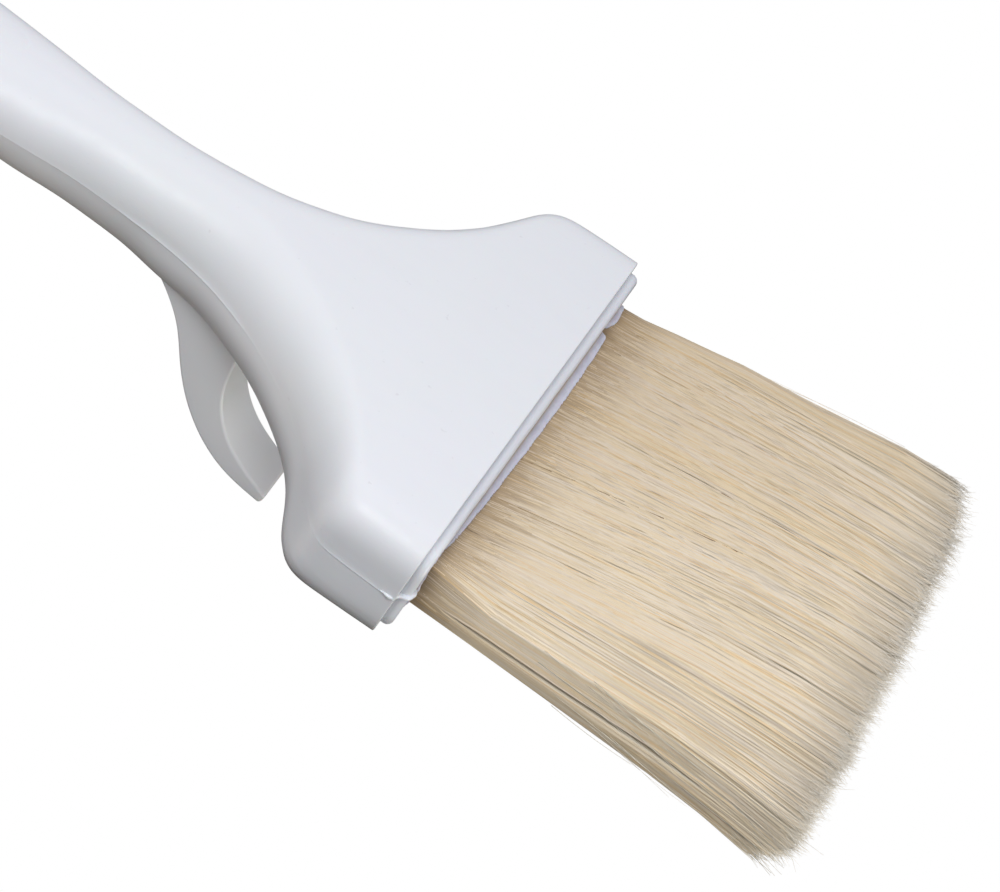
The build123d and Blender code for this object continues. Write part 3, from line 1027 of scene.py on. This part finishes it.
def tube_mesh(name, paths, radius, colours, soften=0.0):
    """Three-sided tubes along the paths, with a colour at each ring and one tidy UV strip each."""
    count, rings, _ = paths.shape
    forward = np.gradient(paths, axis=1)
    forward /= np.linalg.norm(forward, axis=2, keepdims=True)
    side = np.cross(forward, [0.0, 0.12, 1.0])
    side /= np.linalg.norm(side, axis=2, keepdims=True)
    lift = np.cross(side, forward)
    turn = np.arange(3) * 2 * math.pi / 3 + math.pi / 2
    ring = (
        side[:, :, None, :] * np.cos(turn)[None, None, :, None]
        + lift[:, :, None, :] * np.sin(turn)[None, None, :, None]
    )
    points = (paths[:, :, None, :] + ring * radius[:, :, None, None]).reshape(-1, 3)
    base = (np.arange(count) * rings * 3)[:, None, None, None]
    i = np.arange(rings - 1)[None, :, None, None]
    j = np.arange(3)[None, None, :, None]
    corner_ring = np.array([0, 0, 1, 1])[None, None, None, :]
    corner_side = np.array([1, 0, 0, 1])[None, None, None, :]
    quads = base + (i + corner_ring) * 3 + (j + corner_side) % 3
    quads = quads.reshape(-1, 4)
    start = (np.arange(count) * rings * 3)[:, None]
    caps = np.concatenate([start + np.arange(3), start + (rings - 1) * 3 + [2, 1, 0]])
    mesh = bpy.data.meshes.new(name)
    mesh.vertices.add(len(points))
    mesh.vertices.foreach_set("co", place(points).ravel())
    loops = np.concatenate([quads.ravel(), caps.ravel()])
    mesh.loops.add(len(loops))
    mesh.loops.foreach_set("vertex_index", loops.astype(np.int32))
    starts = np.concatenate([np.arange(len(quads)) * 4, len(quads) * 4 + np.arange(len(caps)) * 3])
    mesh.polygons.add(len(starts))
    mesh.polygons.foreach_set("loop_start", starts.astype(np.int32))
    mesh.update(calc_edges=True)
    mesh.shade_smooth()
    layer = mesh.color_attributes.new("tone", "FLOAT_COLOR", "POINT")
    rgba = np.ones((count, rings, 3, 4), dtype=np.float32)
    rgba[:, :, :, :3] = colours[:, :, None, :]
    layer.data.foreach_set("color", rgba.ravel())
    # each bristle has a narrow strip of its own in the UV map
    columns = math.ceil(math.sqrt(count * 1.2))
    cell_u = 1 / columns
    cell_v = 1 / math.ceil(count / columns)
    strand = np.arange(count)
    u0 = (strand % columns) * cell_u + 0.15 * cell_u
    v0 = (strand // columns) * cell_v + 0.1 * cell_v
    quad_u = u0[:, None, None, None] + 0.7 * cell_u * (j + corner_side) / 3 + 0 * i
    quad_v = v0[:, None, None, None] + 0.8 * cell_v * (i + corner_ring) / (rings - 1) + 0 * j
    cap_u = np.concatenate([u0, u0])[:, None] + cell_u * np.array([0.0, 0.3, 0.15])
    cap_v = np.concatenate([v0, v0 + 0.8 * cell_v])[:, None] + cell_v * np.array([0.0, 0.0, 0.02])
    uv = np.stack([
        np.concatenate([quad_u.ravel(), cap_u.ravel()]), np.concatenate([quad_v.ravel(), cap_v.ravel()]),
    ], axis=1)
    mesh.uv_layers.new(name="OFBake").data.foreach_set("uv", uv.ravel().astype(np.float32))
    mesh.validate()
    if soften:
        own = np.empty(len(points) * 3, dtype=np.float32)
        mesh.vertices.foreach_get("normal", own)
        blended = own.reshape(-1, 3) * (1 - soften) + pack_normals(points) * soften
        blended /= np.linalg.norm(blended, axis=1, keepdims=True)
        mesh.normals_split_custom_set_from_vertices(blended.tolist())
    obj = bpy.data.objects.new(name, mesh)
    bpy.context.scene.collection.objects.link(obj)
    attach(obj, "root")
    return obj


def strand_radius(rng, count, rings):
    """Bristle radii: a slow taper, and a quick one at the very tip."""
    s = np.linspace(0, 1, rings)[None, :]
    size = rng.uniform(*BRISTLE_RADIUS, (count, 1))
    return size * (1 - 0.2 * s) * (1 - 0.55 * smooth(s, 0.9, 1.0))


def make_row(label, seed, parts, low, high, rise, free, fill, material):
    """One row, made of several sheaves of bristles. Returns them and the tips of all bristles."""
    sheaves = []
    tips = []
    rings = len(RING_SHARES)
    for part in range(parts):
        rng = np.random.default_rng(seed + part)
        paths, t = strand_paths(rng, SHEAF_COUNT, low, high, rise, free, fill)
        colours = strand_tones(rng, paths, t)
        radius = strand_radius(rng, SHEAF_COUNT, rings)
        sheaf = tube_mesh(f"{label}_{part + 1}", paths, radius, colours, SOFTEN)
        sheaf.data.materials.append(material)
        sheaves.append(sheaf)
        tips.append(paths[:, -2:, :])
    return sheaves, np.concatenate(tips)


def make_flags(tips, material):
    """The fine split ends at the bristle tips."""
    rng = np.random.default_rng(301)
    count = FLAG_COUNT
    chosen = tips[rng.integers(0, len(tips), count)]
    start = chosen[:, 1]
    forward = chosen[:, 1] - chosen[:, 0]
    forward /= np.linalg.norm(forward, axis=1, keepdims=True)
    length = rng.uniform(0.8, 2.4, (count, 1))
    spread = rng.normal(0, 0.16, (count, 3)) * [0.2, 1.0, 1.0]
    curl = rng.normal(0, 0.22, (count, 3)) * [0.2, 1.0, 1.0]
    s = np.array([-0.35, 0.35, 1.0])[None, :, None]
    paths = start[:, None, :] + (forward + spread)[:, None, :] * s * length[:, None, :]
    paths = paths + curl[:, None, :] * length[:, None, :] * np.clip(s, 0, 1) ** 2
    radius = rng.uniform(0.025, 0.042, (count, 1)) * np.array([1.0, 0.8, 0.35])[None, :]
    tone = np.array(TIP_PALE) * rng.uniform(0.85, 1.1, (count, 1, 1)) * np.ones((1, 3, 1))
    flags = tube_mesh("bristle_flags", paths, radius, np.clip(tone, 0, 1), SOFTEN)
    flags.data.materials.append(material)


def make_strays(material):
    """A few loose hairs outside the pack."""
    rng = np.random.default_rng(401)
    rings = 14
    rows = []
    tones = []
    sizes = []
    s = np.linspace(0, 1, rings)

    def stray(start, end, bow, size, tone):
        """One hair from start to end, bowed sideways by `bow` (across, up)."""
        start = np.array(start, dtype=float)
        end = np.array(end, dtype=float)
        path = start + (end - start) * s[:, None]
        path = path + np.array([0.0, *bow]) * np.sin(math.pi * s)[:, None]
        rows.append(path)
        tones.append(np.tile(np.array(tone) * rng.uniform(0.9, 1.1), (rings, 1)))
        sizes.append(size * (1 - 0.5 * s))

    # along the flared edge
    for _ in range(26):
        low = rng.uniform(2, 30)
        reach = rng.uniform(14, 28)
        high = min(low + reach, 56)
        share_low = np.interp(low, FLARE[:, 0], FLARE[:, 1])
        share_high = np.interp(high, FLARE[:, 0], FLARE[:, 1])
        side = SWEEP[-1, 1]
        lift = rng.uniform(2.3, 4.3)
        stray(
            (low, ROW_HALF_WIDTH + side * share_low - 0.3, lift * 0.9 + share_low * 2.0),
            (high, ROW_HALF_WIDTH + side * share_high + rng.uniform(-0.6, 0.4), lift + share_high * 2.4),
            (rng.uniform(-0.1, 0.5), rng.uniform(0, 0.4)),
            rng.uniform(0.03, 0.07),
            PALE,
        )
    # along the straight edge, at the front and at the back
    for _ in range(18):
        low = rng.uniform(18, 42)
        high = min(low + rng.uniform(12, 24), 63)
        up = rng.uniform(-4.5, 3.5)
        stray(
            (low, -ROW_HALF_WIDTH + 0.2, up),
            (high, -ROW_HALF_WIDTH - rng.uniform(-0.2, 1.1), up - rng.uniform(0, 1.0)),
            (rng.uniform(-0.5, 0.1), rng.uniform(-0.3, 0.3)),
            rng.uniform(0.03, 0.065),
            TIP_PALE,
        )
    # splayed ends at the corner of the straight edge
    for _ in range(50):
        low = rng.uniform(46, 53)
        up = rng.uniform(-4.6, 4.5)
        out = rng.uniform(0.1, 1.7)
        stray(
            (low, -ROW_HALF_WIDTH + 0.35, up),
            (rng.uniform(55, 60.5), -ROW_HALF_WIDTH - out, up - 0.5 * out),
            (rng.uniform(0, 0.35), rng.uniform(-0.2, 0.2)),
            rng.uniform(0.035, 0.07),
            TIP_PALE,
        )
    strays = tube_mesh("stray_hairs", np.array(rows), np.array(sizes), np.clip(np.array(tones), 0, 1))
    strays.data.materials.append(material)


def make_bristles():
    material = bristle_material()
    front, front_tips = make_row(
        "front_sheaf", seed=101, parts=4, low=-0.7, high=ROW_HIGH,
        rise=(0.95, 3.1), free=(0.45, 1.0), fill=-1.0, material=material,
    )
    back, back_tips = make_row(
        "back_sheaf", seed=201, parts=2, low=ROW_LOW, high=-2.4,
        rise=(-0.3, 1.6), free=(0.25, 0.45), fill=1.0, material=material,
    )
    for sheaf in front:
        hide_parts("front_bristle_row")
    for sheaf in back:
        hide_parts("back_bristle_row")
    make_flags(np.concatenate([front_tips, back_tips]), material)
    make_strays(material)


# ---- stage, light and camera

VIEW_TILT = 50.0  # degrees from straight above, rolled towards -Y
VIEW_TURN = 0.0066
VIEW_ROLL = 35.55  # degrees that the brush's length falls to the right in the picture
VIEW_DISTANCE = 1.294
LENS = 360.0
AIM_RIGHT = -1.035  # mm from the middle of the mouth to the middle of the picture
AIM_UP = -0.271


# The sky's colour from straight below (0) to straight above (1); the horizon is at 0.5.
SKY = [
    (0.0, (0.05, 0.045, 0.04)),
    (0.42, (0.06, 0.055, 0.05)),
    (0.49, (0.22, 0.215, 0.21)),
    (0.53, (0.86, 0.86, 0.90)),
    (0.70, (0.92, 0.92, 0.98)),
    (1.0, (0.93, 0.93, 1.0)),
]
SKY_LEAN = 0.22
SKY_STRENGTH = 0.76
# Each lamp: its place from the middle of the mouth in metres, size, power and colour.
LAMPS = [
    ("soft_box", (-0.075, -0.20, 0.255), 0.16, 0.43, (0.97, 1.0, 1.0)),
    ("bounce", (-0.120, -0.040, -0.065), 0.07, 0.014, (1.0, 0.88, 0.76)),
    ("table_glow", (0.50, -0.08, -0.12), 0.15, 1.1, (1.0, 0.98, 0.90)),
]
# A lamp aims at the brush's middle line, part of the way along to its own place.
LAMP_FOLLOW = 0.4
LAMP_AIM_BACK = 0.01


def backdrop_material(name, glow):
    material = bpy.data.materials.new(name)
    material.use_nodes = True
    shader = material.node_tree.nodes["Principled BSDF"]
    values = {
        "Base Color": (0, 0, 0, 1),
        "Roughness": 1.0,
        "Specular IOR Level": 0.0,
        "Emission Color": (1, 1, 1, 1),
        "Emission Strength": glow,
    }
    for key, value in values.items():
        shader.inputs[key].default_value = value
    return material


def camera_only(obj):
    obj.visible_diffuse = False
    obj.visible_glossy = False
    obj.visible_transmission = False
    obj.visible_shadow = False


def make_stage():
    """A pale floor and a white surround that only the camera sees."""
    bpy.ops.mesh.primitive_circle_add(vertices=96, radius=3.5, fill_type="NGON", location=(0, 0, -0.0002))
    floor = bpy.context.object
    floor.name = "studio_floor"
    floor.data.materials.append(backdrop_material("floor_white", 1.0))
    bpy.ops.mesh.primitive_uv_sphere_add(segments=48, ring_count=24, radius=5.5)
    dome = bpy.context.object
    dome.name = "studio_surround"
    dome.data.materials.append(backdrop_material("surround_white", 1.05))
    camera_only(floor)
    camera_only(dome)


def make_light():
    """An overcast sky that is dark below, and three lamps that no camera sees."""
    world = bpy.data.worlds.new("studio")
    bpy.context.scene.world = world
    world.use_nodes = True
    tree = world.node_tree
    tree.nodes.clear()
    link = tree.links.new

    def node(kind):
        return tree.nodes.new("ShaderNode" + kind)

    coords = node("TexCoord")
    split = node("SeparateXYZ")
    link(coords.outputs["Generated"], split.inputs[0])
    behind = node("Math")
    behind.operation = "MULTIPLY_ADD"
    behind.inputs[1].default_value = SKY_LEAN
    link(split.outputs["Y"], behind.inputs[0])
    link(split.outputs["Z"], behind.inputs[2])
    spread = node("MapRange")
    spread.inputs["From Min"].default_value = -1.0
    link(behind.outputs[0], spread.inputs["Value"])
    ramp = node("ValToRGB")
    link(spread.outputs["Result"], ramp.inputs["Fac"])
    elements = ramp.color_ramp.elements
    elements[0].position, elements[0].color = SKY[0][0], (*SKY[0][1], 1)
    elements[1].position, elements[1].color = SKY[-1][0], (*SKY[-1][1], 1)
    for position, colour in SKY[1:-1]:
        element = elements.new(position)
        element.color = (*colour, 1)
    background = node("Background")
    background.inputs["Strength"].default_value = SKY_STRENGTH
    out = node("OutputWorld")
    link(ramp.outputs["Color"], background.inputs["Color"])
    link(background.outputs[0], out.inputs["Surface"])

    centre = Vector((MOUTH_X, 0, AXIS_Z))
    for name, offset, size, power, colour in LAMPS:
        lamp = bpy.data.lights.new(name, "AREA")
        lamp.shape = "DISK"
        lamp.size = size
        lamp.energy = power
        lamp.color = colour
        holder = bpy.data.objects.new(name, lamp)
        bpy.context.scene.collection.objects.link(holder)
        target = centre + Vector((offset[0] * LAMP_FOLLOW - LAMP_AIM_BACK, 0, 0))
        holder.location = centre + Vector(offset)
        holder.rotation_mode = "QUATERNION"
        holder.rotation_quaternion = (holder.location - target).to_track_quat("Z", "Y")
        holder.visible_camera = False


def make_camera():
    tilt = math.radians(VIEW_TILT)
    roll = math.radians(VIEW_ROLL)
    back = Vector((VIEW_TURN, -math.sin(tilt), math.cos(tilt))).normalized()
    length = Vector((1, 0, 0))
    length = (length - back * length.dot(back)).normalized()
    width = back.cross(length)
    right = length * math.cos(roll) + width * math.sin(roll)
    up = width * math.cos(roll) - length * math.sin(roll)
    target = Vector((MOUTH_X, 0, AXIS_Z)) + (right * AIM_RIGHT + up * AIM_UP) * MM
    camera = bpy.data.objects.new("camera", bpy.data.cameras.new("camera"))
    bpy.context.scene.collection.objects.link(camera)
    camera.data.lens = LENS
    camera.data.clip_start = 0.05
    camera.data.clip_end = 20
    turn = Matrix((right, up, back)).transposed().to_4x4()
    camera.matrix_world = Matrix.Translation(target + back * VIEW_DISTANCE) @ turn
    bpy.context.scene.camera = camera
    bpy.context.scene.view_settings.view_transform = "Standard"


make_handle()
make_collar()
make_flash()
make_resin()
make_plug()
make_bristles()
make_stage()
make_light()
make_camera()

bpy.context.view_layer.update()
